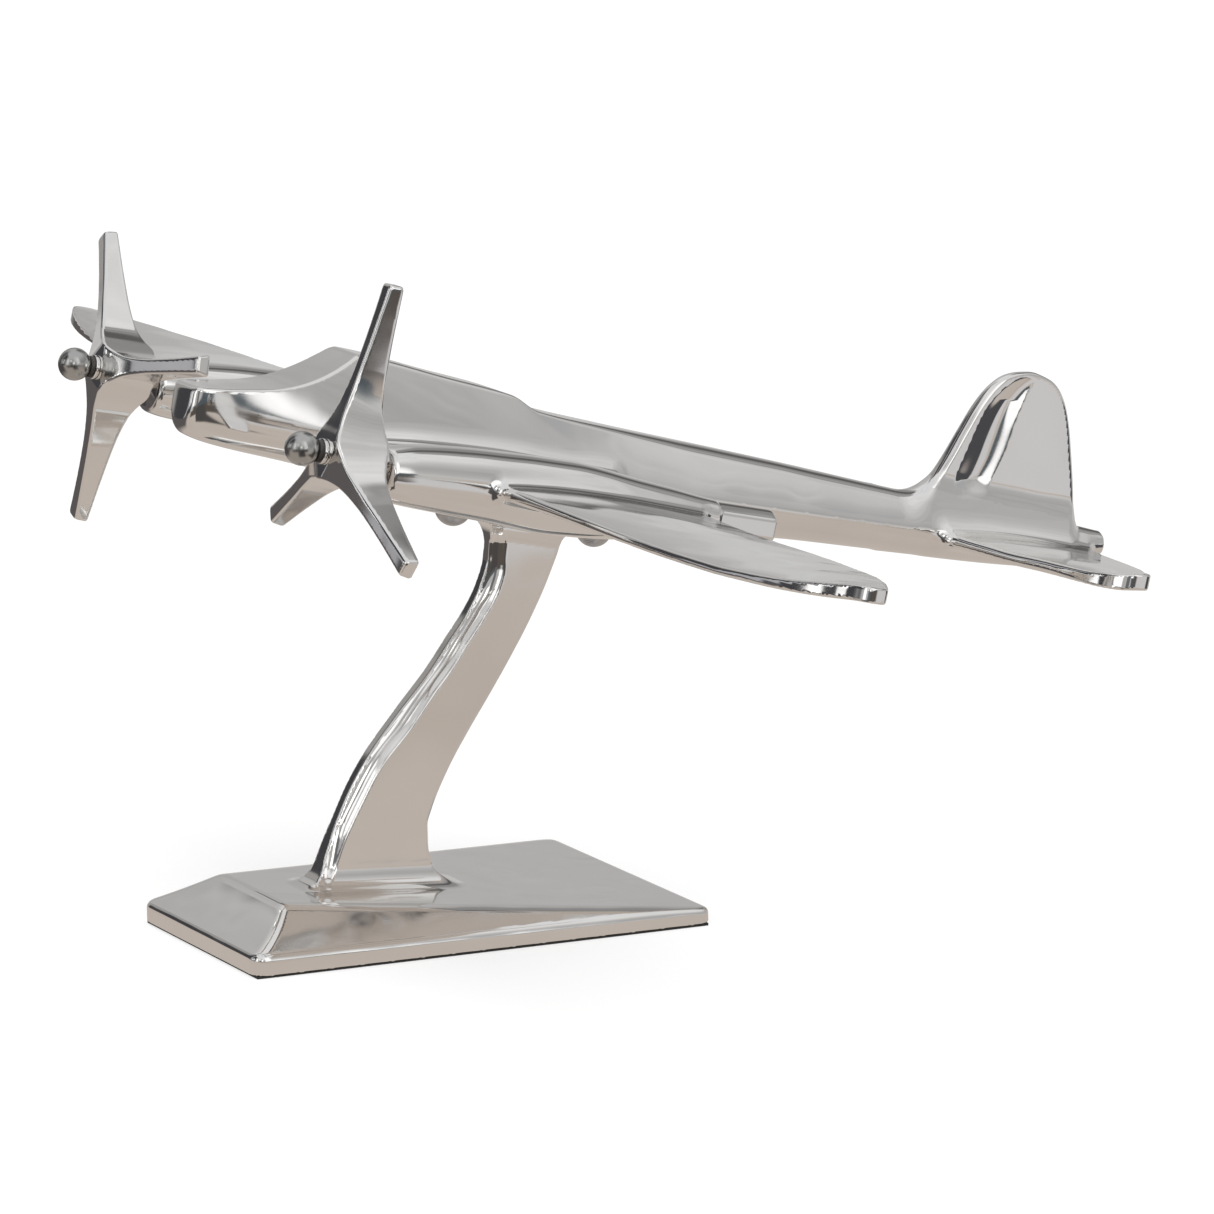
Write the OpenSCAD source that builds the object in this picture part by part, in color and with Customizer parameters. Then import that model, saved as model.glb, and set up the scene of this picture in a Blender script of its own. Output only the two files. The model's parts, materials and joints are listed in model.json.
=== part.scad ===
// Desk model of a twin-propeller aeroplane, cast and polished, on an S-curved arm and a wedge base.
// Millimetres. Nose towards -Y, port side towards +X, +Z up.
// The origin is at the bottom centre of the base.

/* [Base] */
// Length of the base, front to back
base_len = 218.5; // [190:0.5:240]
// Width of the base at the front edge
base_front_w = 119; // [100:1:140]
// Width of the base at the rear edge
base_rear_w = 155.5; // [140:1:180]
// Height of the upright edge at the front
base_front_edge = 10; // [8:0.5:14]
// Height of the upright edge at the rear
base_rear_edge = 8.1; // [6:0.1:10]
// Height of the sloping top face at its front end
base_crest = 25.3; // [22:0.1:30]
// Distance from the front edge back to the crest
crest_set_back = 26.5; // [20:0.5:32]
// Width of the top face at the crest
crest_w = 66; // [50:1:80]
// Thickness of the felt pad under the base
felt_t = 1.2; // [0.8:0.1:2]
// Distance of the felt pad's rim inside the casting's rim
felt_inset = 1.6; // [1:0.1:4]

/* [Arm] */
// Width of the arm across the aeroplane
arm_w = 15; // [12:0.5:18]
// Length of the saddle flange along the fuselage
flange_len = 95; // [92:0.5:98]
// Width of the saddle flange
flange_w = 25; // [22:0.5:28]
// Thickness of the saddle flange
flange_t = 5.5; // [4.5:0.1:6.5]

/* [Airframe] */
// Nose-up pitch of the airframe, degrees
pitch = 13.63; // [12:0.1:15]
// Height of the propeller hubs above the table
hub_z = 240.8; // [236:0.1:246]
// Position of the propeller hubs along the base (minus is forward)
hub_y = -83.7; // [-88:0.1:-80]
// Distance between the two propeller shafts
shaft_spacing = 236; // [230:0.5:242]
// Distance between the wing tips
span = 784; // [760:1:800]
// Distance between the tailplane tips
tail_span = 256; // [240:1:270]
// Half-width of the fuselage where the wings are welded on
fus_max_half = 26; // [25:0.5:28]
// Thickness of the fin
fin_t = 8; // [6:0.5:10]

/* [Propellers] */
// Radius at the propeller blade tips
tip_r = 75; // [68:0.5:80]
// Half-width of a blade at the tip
blade_tip_hw = 4.6; // [4:0.1:6]
// Thickness of a blade at the tip
blade_tip_t = 7; // [5:0.5:9]
// Turning position of the port propeller, degrees
port_turn = 89.5; // [0:0.5:120]
// Turning position of the starboard propeller, degrees
starboard_turn = 11.3; // [0:0.5:120]
// Radius of the propeller shafts
shaft_r = 2.5; // [2:0.1:3]
// Outer radius of the brass hub bushes
bush_r = 4.5; // [4:0.1:5]
// Radius of the ball nuts
ball_r = 7.5; // [6.5:0.1:8.5]

/* [Fasteners] */
// Radius of the dome heads of the two belly bolts
dome_r = 8.2; // [7:0.1:9]
// Height of the dome heads
dome_h = 6.4; // [5:0.1:7]
// Radius of the belly bolt shanks
belly_bolt_r = 3; // [2.5:0.1:3.5]
// Radius of the foot bolt shank
foot_bolt_r = 4; // [3:0.5:5]

/* [Hidden] */
// Radial clearance of a fixed shaft or bolt in its hole
fit_gap = 0.05;
// Radial clearance of the turning bush on its shaft
run_gap = 0.06;
// Depth of the belly below the shaft line, where the saddle flange is clamped
seat_v = -23.5;
// Ends of the hub stack along the shaft line
hub_front = -16;
hub_rear = 9;
nacelle_front = 12;
washer_t = 2;
fibre_t = 1.8;
ball_u = hub_front - washer_t - fibre_t - 6.7;
shaft_x = shaft_spacing / 2;
shaft_end = 45;
// Positions along the fuselage of the two belly bolts
bolt_front_u = 114.5;
bolt_rear_u = 187.5;
flange_mid_u = (bolt_front_u + bolt_rear_u) / 2;
// Foot bolt position, head height and seat height
foot_y = -20;
foot_head_z = 2.6;
foot_head_h = 4.4;
foot_washer_t = 1.5;
foot_seat_z = foot_head_z + foot_head_h + foot_washer_t;
foot_top_z = 44;
// The sloping top face of the base
crest_y = crest_set_back - base_len / 2;
rear_top_y = base_len / 2 - 4;
rear_top_w = base_rear_w - 1;
top_slope = (base_crest - base_rear_edge - 0.3) / (rear_top_y - crest_y);
// Number of points around a body section
body_n = 24;

// Lines of the fuselage: [station along the shaft line, value]
fus_top = [[-29, 6.5], [-26, 9.5], [-5, 11], [12, 15], [28, 23.5], [44, 34.8], [50, 34.4], [128, 27.5],
  [138, 23.5], [180, 19.8], [277, 15.5], [350, 11], [420, 7.5], [447, 5.3], [456, 3.5]];
fus_bottom = [[-29, -9.5], [-24, -13.5], [-10, -15.5], [24, -17.5], [70, -21.5], [100, -23.5],
  [205, -23.5], [250, -20.5], [284, -18.2], [333, -17], [390, -14.2], [440, -9], [456, -6]];
fus_half = [[-29, 8.5], [-24, 12.5], [-5, 15.5], [30, 22], [48, fus_max_half], [185, fus_max_half],
  [284, 20.5], [350, 15.2], [450, 6.7], [456, 5.5]];
fus_stations = [-29, -26, -20, -5, 12, 30, 44, 50, 80, 128, 138, 160, 185, 205, 240, 284, 333, 350,
  400, 420, 447, 456];

// Lines of a nacelle: top, bottom and half-width along the shaft line
nac_top = [[12, 5.5], [16, 7.5], [25, 9], [140, 9], [172, 6.5], [207, 3.6]];
nac_bottom = [[12, -13], [16, -16], [25, -18], [64, -19.5], [92, -21], [124, -19.2], [150, -15.5],
  [175, -11.5], [207, -8.8]];
nac_half = [[12, 9], [16, 11.5], [25, 13.5], [60, 15], [140, 14], [172, 8.5], [207, 7]];
// Front and rear ends of a nacelle at a distance from its axis
nac_front = [[0, 12], [9, 12], [11.5, 16], [13.5, 25], [15, 60]];
nac_rear = [[0, 207], [7, 207], [8.5, 172], [14, 140], [15, 60]];
nac_offsets = [-14.6, -13.5, -11.5, -9, -6.9, -3.5, 0, 3.5, 6.9, 9, 11.5, 13.5, 14.6];

// Lines of a wing panel against distance from the centre line
wing_le = [[0, 48], [90, 56], [131, 62], [200, 68], [300, 76], [350, 85], [375, 92], [388, 99], [392, 105]];
wing_te = [[0, 182], [90, 174], [131, 168], [200, 158], [265, 157], [300, 149], [350, 130], [375, 119],
  [388, 112], [392, 107.5]];
wing_mid = [[0, -7], [131, -4.5], [250, -3.8], [300, -3], [350, -0.5], [392, 2.2]];
wing_t = [[0, 15], [90, 13], [131, 10], [200, 7], [392, 5.5]];
wing_edge_t = 3.6;
inner_stations = [fus_max_half, 60, 90];
outer_stations = [shaft_x + 17, 160, 200, 250, 300, 335, 360, 378, 388, 392];
// Positions of the section points from the leading edge (0) to the trailing edge (1)
chord_steps = [0, 0.025, 0.07, 0.15, 0.27, 0.4, 0.53, 0.66, 0.78, 0.88, 0.95, 1];

// Lines of half of the tailplane
tail_le = [[0, 360], [40, 369], [80, 377], [110, 385], [122, 391], [128, 399]];
tail_te = [[0, 444], [40, 440], [80, 428.5], [100, 418], [110, 412.5], [122, 406], [128, 402.5]];
tail_mid = [[0, -4.5], [80, -4.5], [128, -2]];
tail_t = [[0, 10], [30, 7], [128, 6]];
tail_stations = [30, 55, 80, 100, 113, 122, 127, 128];
tail_edge_t = 4;

// Outline of the fin in the fuselage's plane of symmetry
fin_outline = [[350, 11], [354, 14], [362, 30], [374, 57], [382, 68], [392, 74.5], [401, 76], [409, 74.5],
  [416, 71], [421, 65], [430, 42], [439, 6], [420, 7.5]];
// Front and rear outline of the arm seen from the side, from top to bottom
arm_front = [[38, 195], [38, 178], [37, 163], [33, 151], [26, 139], [17, 128], [7, 115], [-11, 95],
  [-25, 79], [-34, 66], [-40, 54], [-45, 42], [-50, 30], [-55, 10]];
arm_rear = [[14, 5], [9, 19], [4.5, 27], [2.6, 36], [2.4, 45], [5, 53], [14, 70.5], [24, 86.5], [35, 101.5],
  [45, 116.5], [55, 133], [65, 152], [72, 168], [76, 195]];

function signed_pow(value, power) = sign(value) * pow(abs(value), power);

// One ring of a body section; the lower half is squarer than the upper half
function body_ring(u, half, top, bottom) = [
  for (i = [0:body_n - 1])
    let (a = -360 * i / body_n)
    let (power = sin(a) < 0 ? 0.42 : 0.8)
    [half * signed_pow(cos(a), power), u,
     (top + bottom) / 2 + (top - bottom) / 2 * signed_pow(sin(a), power)]
];

// Thickness of a section at a fraction of its chord
function fullness(thick, edge, step) = edge + (thick - edge) * pow(sin(180 * step), 0.6);

// One ring of a wing or tail section from its edges and its upper and lower lines
function section_ring(xs, us, tops, bottoms) = concat(
  [for (i = [0:len(us) - 1]) [xs[i], us[i], bottoms[i]]],
  [for (i = [len(us) - 1:-1:0]) [xs[i], us[i], tops[i]]]
);

// Height factor of a nacelle at a station and a distance from its axis
function nac_factor(u, d) =
  let (h = lookup(u, nac_half))
  d < h ? pow(1 - pow(d / h, 2.4), 0.42) : 0;

// Edges of the wing with its nacelle at a distance x from the centre line
function front_u(x) =
  let (d = abs(x - shaft_x))
  d < 15 ? min(lookup(x, wing_le), lookup(d, nac_front)) : lookup(x, wing_le);
function rear_u(x) =
  let (d = abs(x - shaft_x))
  d < 15 ? max(lookup(x, wing_te), lookup(d, nac_rear)) : lookup(x, wing_te);

// Height of the wing with its nacelle: side is 1 above and -1 below
function wing_v(x, u, side) =
  let (d = abs(x - shaft_x))
  let (le = lookup(x, wing_le), te = lookup(x, wing_te), mid = lookup(x, wing_mid))
  let (inside = u >= le && u <= te)
  let (half = fullness(lookup(x, wing_t), wing_edge_t, inside ? (u - le) / (te - le) : 0) / 2)
  let (line = lookup(u, side > 0 ? nac_top : nac_bottom))
  let (centre = (lookup(u, nac_top) + lookup(u, nac_bottom)) / 2)
  let (nacelle = centre + side * 1.2 + (line - centre - side * 1.2) * nac_factor(u, d))
  d >= 15 ? mid + side * half :
  !inside ? nacelle :
  side * max(side * (mid + side * half), side * nacelle);

function wing_ring(x) =
  let (le = front_u(x), te = rear_u(x))
  let (us = [for (k = chord_steps) le + (te - le) * k])
  section_ring([for (u = us) x], us, [for (u = us) wing_v(x, u, 1)], [for (u = us) wing_v(x, u, -1)]);

function tail_ring(x, us, xs) =
  let (mid = lookup(x, tail_mid), thick = lookup(x, tail_t))
  section_ring(xs, us,
    [for (k = chord_steps) mid + fullness(thick, tail_edge_t, k) / 2],
    [for (k = chord_steps) mid - fullness(thick, tail_edge_t, k) / 2]);

function tail_us(x) =
  let (le = lookup(x, tail_le), te = lookup(x, tail_te))
  [for (k = chord_steps) le + (te - le) * k];

// Half-width of a blade at radius r, swelling into the hub
function blade_hw(r) = blade_tip_hw + 3.4 * (1 - r / tip_r) + 5.9 * exp(-(r - 8) / 10);

function turned(p, a) = [p[0] * cos(a) - p[1] * sin(a), p[0] * sin(a) + p[1] * cos(a)];

// A closed skin through a list of rings with equal point counts
module loft(rings) {
  n = len(rings[0]);
  m = len(rings);
  points = [for (ring = rings) for (p = ring) p];
  sides = [
    for (j = [0:m - 2]) for (i = [0:n - 1]) for (k = [0:1])
      let (a = j * n + i, b = j * n + (i + 1) % n, c = a + n, d = b + n)
      k == 0 ? [a, b, d] : [a, d, c]
  ];
  first = [for (i = [0:n - 1]) n - 1 - i];
  last = [for (i = [0:n - 1]) (m - 1) * n + i];
  polyhedron(points = points, faces = concat(sides, [first, last]), convexity = 6);
}

// Puts something drawn along the shaft line into the pitched airframe
module airframe() {
  translate([0, hub_y, hub_z])
    rotate([-pitch, 0, 0])
      children();
}

// A cylinder along the shaft line between two stations
module axial(u0, u1, r) {
  translate([0, u0, 0])
    rotate([-90, 0, 0])
      cylinder(r = r, h = u1 - u0, $fn = 64);
}

// A disc with a hole, along the shaft line
module ring_disc(u0, u1, outer, inner) {
  difference() {
    axial(u0, u1, outer);
    axial(u0 - 1, u1 + 1, inner);
  }
}

module base_blank() {
  f = base_front_w / 2;
  r = base_rear_w / 2;
  c = crest_w / 2;
  t = rear_top_w / 2;
  y0 = -base_len / 2;
  y1 = base_len / 2;
  zt = base_crest - top_slope * (rear_top_y - crest_y);
  points = [
    [-f, y0, felt_t], [f, y0, felt_t], [r, y1, felt_t], [-r, y1, felt_t],
    [-f, y0, base_front_edge], [f, y0, base_front_edge], [r, y1, base_rear_edge],
    [-r, y1, base_rear_edge],
    [-c, crest_y, base_crest], [c, crest_y, base_crest], [t, rear_top_y, zt], [-t, rear_top_y, zt]
  ];
  faces = [
    [0, 1, 2, 3], [0, 4, 5, 1], [1, 5, 6, 2], [2, 6, 7, 3], [3, 7, 4, 0],
    [4, 8, 9, 5], [5, 9, 10], [5, 10, 6], [6, 10, 11, 7], [7, 11, 8], [7, 8, 4],
    [8, 11, 10, 9]
  ];
  polyhedron(points = points, faces = faces, convexity = 4);
}

// The wedge-shaped base with a counterbored hole for the foot bolt
module base_casting() {
  color([0.83, 0.82, 0.8])
    difference() {
      base_blank();
      translate([0, foot_y, -1])
        cylinder(r = 9.5, h = foot_seat_z + 1, $fn = 64);
      translate([0, foot_y, 0])
        cylinder(r = foot_bolt_r + 0.4, h = 40, $fn = 48);
    }
}

// The felt pad glued under the base, with a hole around the foot bolt
module felt_pad() {
  f = base_front_w / 2 - felt_inset;
  r = base_rear_w / 2 - felt_inset;
  y0 = -base_len / 2 + felt_inset;
  y1 = base_len / 2 - felt_inset;
  color([0.05, 0.05, 0.05])
    difference() {
      linear_extrude(height = felt_t)
        polygon([[-f, y0], [f, y0], [r, y1], [-r, y1]]);
      translate([0, foot_y, -1])
        cylinder(r = 10.5, h = felt_t + 2, $fn = 64);
    }
}

// Hexagon-headed bolt up through the base into the arm
module foot_bolt() {
  color([0.55, 0.56, 0.57])
    union() {
      translate([0, foot_y, foot_head_z])
        cylinder(r = 7, h = foot_head_h, $fn = 6);
      translate([0, foot_y, foot_head_z])
        cylinder(r = foot_bolt_r, h = foot_top_z - 2 - foot_head_z, $fn = 48);
    }
}

// Plain washer under the foot bolt's head
module foot_washer() {
  color([0.6, 0.6, 0.6])
    translate([0, foot_y, foot_head_z + foot_head_h])
      difference() {
        cylinder(r = 8.8, h = foot_washer_t, $fn = 64);
        translate([0, 0, -1])
          cylinder(r = foot_bolt_r + 0.2, h = foot_washer_t + 2, $fn = 48);
      }
}

// The S-curved arm with its saddle flange
module stand_arm() {
  color([0.83, 0.81, 0.79])
    difference() {
      union() {
        translate([arm_w / 2, 0, 0])
          rotate([90, 0, -90])
            mirror([1, 0, 0])
              linear_extrude(height = arm_w)
                polygon(concat(arm_front, arm_rear));
        airframe()
          translate([-flange_w / 2, flange_mid_u - flange_len / 2, seat_v - flange_t])
            cube([flange_w, flange_len, flange_t]);
      }
      airframe()
        translate([-50, 50, seat_v])
          cube([100, 200, 60]);
      translate([-50, crest_y, base_crest])
        rotate([-atan(top_slope), 0, 0])
          translate([0, 0, -50])
            cube([100, 200, 50]);
      airframe()
        for (u = [bolt_front_u, bolt_rear_u])
          translate([0, u, seat_v - 12])
            cylinder(r = belly_bolt_r + 0.3, h = 14, $fn = 48);
      translate([0, foot_y, 0])
        cylinder(r = foot_bolt_r + fit_gap, h = foot_top_z, $fn = 48);
    }
}

// Dome-headed bolt up through the flange into the belly
module belly_bolt(u) {
  head_top = seat_v - flange_t;
  cap_r = (dome_r * dome_r + dome_h * dome_h) / (2 * dome_h);
  color([0.58, 0.6, 0.6])
    airframe()
      translate([0, u, head_top])
        union() {
          intersection() {
            translate([0, 0, cap_r - dome_h])
              sphere(r = cap_r, $fn = 64);
            translate([0, 0, -dome_h - 1])
              cylinder(r = dome_r, h = dome_h + 1, $fn = 64);
          }
          translate([0, 0, -1])
            cylinder(r = belly_bolt_r, h = flange_t + 15, $fn = 48);
        }
}

// The fuselage with two blind holes for the belly bolts
module fuselage() {
  color([0.82, 0.82, 0.81])
    airframe()
      difference() {
        loft([for (u = fus_stations)
          body_ring(u, lookup(u, fus_half), lookup(u, fus_top), lookup(u, fus_bottom))]);
        for (u = [bolt_front_u, bolt_rear_u])
          translate([0, u, seat_v - 5])
            cylinder(r = belly_bolt_r + fit_gap, h = 20, $fn = 48);
      }
}

// The fin, welded along the top of the tail boom
module tail_fin() {
  color([0.82, 0.82, 0.81])
    airframe()
      translate([fin_t / 2, 0, 0])
        rotate([90, 0, -90])
          mirror([1, 0, 0])
            linear_extrude(height = fin_t)
              polygon(fin_outline);
}

// Wing panel with its nacelle, from the weld face outwards
module wing_panel() {
  stations = concat(inner_stations, [for (d = nac_offsets) shaft_x + d], outer_stations);
  difference() {
    loft([for (x = stations) wing_ring(x)]);
    translate([shaft_x, 0, 0])
      axial(0, shaft_end + 1, shaft_r + fit_gap);
  }
}

module port_wing() {
  color([0.83, 0.83, 0.82])
    airframe()
      wing_panel();
}

module starboard_wing() {
  color([0.83, 0.83, 0.82])
    airframe()
      mirror([1, 0, 0])
        wing_panel();
}

// Half of the tailplane; its weld face lies against the tapering side of the fuselage
module tail_panel() {
  root = tail_us(12);
  loft(concat(
    [tail_ring(12, root, [for (u = root) lookup(u, fus_half)])],
    [for (x = tail_stations) tail_ring(x, tail_us(x), [for (k = chord_steps) x])]));
}

module port_tailplane() {
  color([0.83, 0.83, 0.82])
    airframe()
      tail_panel();
}

module starboard_tailplane() {
  color([0.83, 0.83, 0.82])
    airframe()
      mirror([1, 0, 0])
        tail_panel();
}

// Plain steel shaft standing out of a nacelle
module prop_shaft(side) {
  color([0.6, 0.6, 0.6])
    airframe()
      translate([side * shaft_x, 0, 0])
        axial(ball_u, shaft_end, shaft_r);
}

// Spacer ring between a nacelle and its propeller
module rear_spacer(side) {
  color([0.6, 0.6, 0.6])
    airframe()
      translate([side * shaft_x, 0, 0])
        ring_disc(hub_rear + 0.1, nacelle_front, 5.5, shaft_r + fit_gap);
}

// Outline of three blades round the hub
module blade_outline() {
  steps = [0:8];
  half = [for (i = steps) let (r = 8 + (tip_r - 8) * pow(i / 8, 1.5)) [r, blade_hw(r)]];
  low = [for (p = half) [p[0], -p[1]]];
  high = [for (i = steps) half[8 - i]];
  blade = concat(low, high);
  polygon([for (k = [0:2]) for (p = blade) turned(p, 120 * k)]);
}

// Three-bladed propeller, thick at the hub and thin at the tips
module propeller(side, turn) {
  color([0.82, 0.82, 0.81])
    airframe()
      translate([side * shaft_x, 0, 0])
        difference() {
          intersection() {
            translate([0, 40, 0])
              rotate([90, 0, 0])
                rotate([0, 0, turn])
                  linear_extrude(height = 80)
                    blade_outline();
            rotate([90, 0, 0])
              rotate_extrude($fn = 96)
                polygon([[0, -hub_rear], [13, -hub_rear], [tip_r, -blade_tip_t / 2],
                  [tip_r, blade_tip_t / 2], [20, 9], [6.5, -hub_front], [0, -hub_front]]);
          }
          axial(hub_front - 1, hub_rear + 1, bush_r + fit_gap / 2);
        }
}

// Brass bush inside a propeller hub
module hub_bush(side) {
  color([0.75, 0.6, 0.3])
    airframe()
      translate([side * shaft_x, 0, 0])
        ring_disc(hub_front, hub_rear, bush_r, shaft_r + run_gap);
}

// Metal washer in front of a propeller hub
module front_washer(side) {
  color([0.8, 0.8, 0.8])
    airframe()
      translate([side * shaft_x, 0, 0])
        ring_disc(hub_front - washer_t, hub_front - 0.1, 5.6, shaft_r + fit_gap);
}

// Black fibre washer behind a ball nut
module fibre_washer(side) {
  color([0.06, 0.06, 0.06])
    airframe()
      translate([side * shaft_x, 0, 0])
        ring_disc(hub_front - washer_t - fibre_t, hub_front - washer_t, 4.8, shaft_r + fit_gap);
}

// Ball nut with a flat back face and a blind hole
module ball_nut(side) {
  color([0.75, 0.74, 0.72])
    airframe()
      translate([side * shaft_x, 0, 0])
        difference() {
          translate([0, ball_u, 0])
            sphere(r = ball_r, $fn = 64);
          axial(hub_front - washer_t - fibre_t, hub_front, ball_r);
          axial(ball_u - 0.5, 0, shaft_r + fit_gap);
        }
}

base_casting();
felt_pad();
foot_bolt();
foot_washer();
stand_arm();
belly_bolt(bolt_front_u);  // belly_bolt_front
belly_bolt(bolt_rear_u);  // belly_bolt_rear
fuselage();
tail_fin();
port_wing();
starboard_wing();
port_tailplane();
starboard_tailplane();
prop_shaft(1);  // port_shaft
prop_shaft(-1);  // starboard_shaft
rear_spacer(1);  // port_rear_spacer
rear_spacer(-1);  // starboard_rear_spacer
propeller(1, port_turn);  // port_propeller
propeller(-1, starboard_turn);  // starboard_propeller
hub_bush(1);  // port_hub_bush
hub_bush(-1);  // starboard_hub_bush
front_washer(1);  // port_front_washer
front_washer(-1);  // starboard_front_washer
fibre_washer(1);  // port_fibre_washer
fibre_washer(-1);  // starboard_fibre_washer
ball_nut(1);  // port_ball_nut
ball_nut(-1);  // starboard_ball_nut
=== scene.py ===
"""Polished cast desk model of a twin-propeller aeroplane on an S-curved arm and a wedge base.

The castings are modelled as one smooth implicit body, so that the fillets run on across the weld
planes, and each casting is cut from it as its own closed mesh. Shapes are worked in millimetres
and written to Blender in metres.
"""

import json
import math

import bmesh
import bpy
import numpy as np
from mathutils import Matrix, Vector


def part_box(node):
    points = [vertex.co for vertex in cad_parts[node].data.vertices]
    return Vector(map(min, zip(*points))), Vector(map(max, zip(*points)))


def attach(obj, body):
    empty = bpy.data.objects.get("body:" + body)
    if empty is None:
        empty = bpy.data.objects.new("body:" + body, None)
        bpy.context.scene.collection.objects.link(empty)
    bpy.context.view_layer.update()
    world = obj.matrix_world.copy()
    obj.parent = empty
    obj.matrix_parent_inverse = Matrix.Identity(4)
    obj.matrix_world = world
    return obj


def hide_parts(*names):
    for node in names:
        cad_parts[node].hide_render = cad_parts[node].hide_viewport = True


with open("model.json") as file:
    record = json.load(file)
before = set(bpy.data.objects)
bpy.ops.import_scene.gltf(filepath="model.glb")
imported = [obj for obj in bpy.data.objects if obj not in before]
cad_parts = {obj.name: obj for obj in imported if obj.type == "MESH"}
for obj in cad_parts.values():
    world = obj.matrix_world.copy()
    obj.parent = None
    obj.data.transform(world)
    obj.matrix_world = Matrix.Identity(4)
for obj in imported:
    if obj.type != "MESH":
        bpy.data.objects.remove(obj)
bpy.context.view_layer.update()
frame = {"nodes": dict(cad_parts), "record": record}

MM = 0.001
ROOT = "stand_and_airframe"
SIDES = {"port": 1, "starboard": -1}
CASTING_CELL = 1.2
PROPELLER_CELL = 0.85
ON_PLANE = 1e-3

# The airframe's own axes: x to port, u aft along the thrust line, v up.
joints = {j["name"]: j for j in frame["record"]["behaviour"]["joints"]}
port_joint = joints["port_prop_spin"]
thrust = np.array(port_joint["axis"])
hub_world = np.array(port_joint["pos_m"]) / MM
SHAFT_X = hub_world[0]
ORIGIN = np.array([0.0, hub_world[1], hub_world[2]])
AXIS_U = -thrust
AXIS_V = np.cross([1.0, 0.0, 0.0], AXIS_U)
TO_AIRFRAME = np.array([[1.0, 0.0, 0.0], AXIS_U, AXIS_V])

base_low, base_high = (np.array(c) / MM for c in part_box("base_casting"))
WING_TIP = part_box("port_wing")[1][0] / MM
TAIL_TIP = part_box("port_tailplane")[1][0] / MM


# ---------------------------------------------------------------- numbers along a line

def spline(keys):
    """A smooth monotone curve through [position, value] keys, for numpy arrays."""
    xs, ys = np.array(keys, float).T
    h = np.diff(xs)
    slope = np.diff(ys) / h
    m = np.zeros_like(ys)
    same = slope[:-1] * slope[1:] > 0
    w1 = 2 * h[1:] + h[:-1]
    w2 = h[1:] + 2 * h[:-1]
    safe_a = np.where(same, slope[:-1], 1.0)
    safe_b = np.where(same, slope[1:], 1.0)
    m[1:-1] = np.where(same, (w1 + w2) / (w1 / safe_a + w2 / safe_b), 0.0)
    m[0] = slope[0]
    m[-1] = slope[-1]

    def curve(x):
        x = np.clip(x, xs[0], xs[-1])
        i = np.clip(np.searchsorted(xs, x) - 1, 0, len(h) - 1)
        t = (x - xs[i]) / h[i]
        a = (1 + 2 * t) * (1 - t) ** 2
        b = t * (1 - t) ** 2
        c = t * t * (3 - 2 * t)
        d = t * t * (t - 1)
        return a * ys[i] + b * h[i] * m[i] + c * ys[i + 1] + d * h[i] * m[i + 1]

    return curve


def smooth_min(a, b, k):
    """The lesser of two fields, rounded where they come within k of each other."""
    h = np.maximum(k - np.abs(a - b), 0.0) / k
    return np.minimum(a, b) - h * h * k * 0.25


def smooth_max(a, b, k):
    return -smooth_min(-a, -b, k)


def oval(x, z, half_w, half_h, power):
    """Distance-like value of a squared oval section."""
    ax = np.abs(x) / half_w
    az = np.abs(z) / half_h
    r = (ax ** power + az ** power + 1e-9) ** (1 / power)
    gx = (ax / r) ** (power - 1) / half_w
    gz = (az / r) ** (power - 1) / half_h
    return (r - 1) / np.sqrt(gx * gx + gz * gz + 1e-9)


def plate(edge, offset, half_t, edge_r):
    """A flat plate: edge is the distance outside its outline, offset the height off its middle."""
    qa = edge + edge_r
    qb = np.abs(offset) - (half_t - edge_r)
    outside = np.hypot(np.maximum(qa, 0), np.maximum(qb, 0))
    return outside + np.minimum(np.maximum(qa, qb), 0) - edge_r


# ---------------------------------------------------------------- lines of the airframe

NOSE_U = -29.0
TAIL_U = 456.0
DECK_END = 56

# Fuselage against u. crown and bottom are its outline, middle the height where it is widest and
# half the half width there. The sides lean in towards shoulder, the half width at the height of
# spine, with lean as the power of the curve and corner as the softness of the top edges.
fus_crown = spline([[-29, 36], [50, 34.9], [90, 31.4], [126, 27.9], [129, 27.1], [137.5, 23.4], [141, 22.6],
                    [180, 20.2], [233, 18], [277, 15.8], [350, 11.6], [440, 8.6], [456, 7.6]])
fus_bottom = spline([[-29, -9.5], [-25, -12.5], [-10, -15.4], [24, -17.8], [70, -21.5], [100, -23.4],
                     [205, -23.4], [250, -20.8], [284, -18.4], [333, -17], [390, -14.2], [430, -9.6],
                     [456, -4.2]])
fus_spine = spline([[-29, 36], [50, 34.9], [90, 31.4], [126, 27.7], [160, 23.4], [200, 19.4], [277, 15.8],
                    [350, 11.6], [440, 8.6], [456, 7.6]])
fus_middle = spline([[-29, 4], [50, -1], [128, -2], [205, -3.5], [350, -3], [456, 1]])
fus_shoulder = spline([[-29, 10.5], [-24, 11.6], [0, 12.4], [46, 14], [126, 13], [160, 11], [200, 9],
                       [350, 4.6], [456, 2.4]])
fus_lean = spline([[-29, 1.35], [60, 1.35], [126, 1.3], [300, 1.25], [420, 1.3], [456, 1.8]])
fus_corner = spline([[-29, 2], [110, 2.2], [128, 1.3], [146, 1.5], [190, 3.2], [230, 5], [456, 4]])
fus_half = spline([[-29, 11], [-22, 13.6], [-5, 16.5], [30, 22], [48, 24], [90, 25.5], [185, 25.5],
                   [284, 20.5], [350, 15.2], [450, 6.9], [456, 6.2]])
# Top of the nose ahead of the cockpit, as far back as DECK_END
nose_deck = spline([[-40, 9], [-29, 9.4], [-14, 11], [-3, 12.6], [8, 14.6], [18, 17.6], [30, 23.4],
                    [38.5, 29.2], [45.5, 34.9], [60, 48]])

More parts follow.
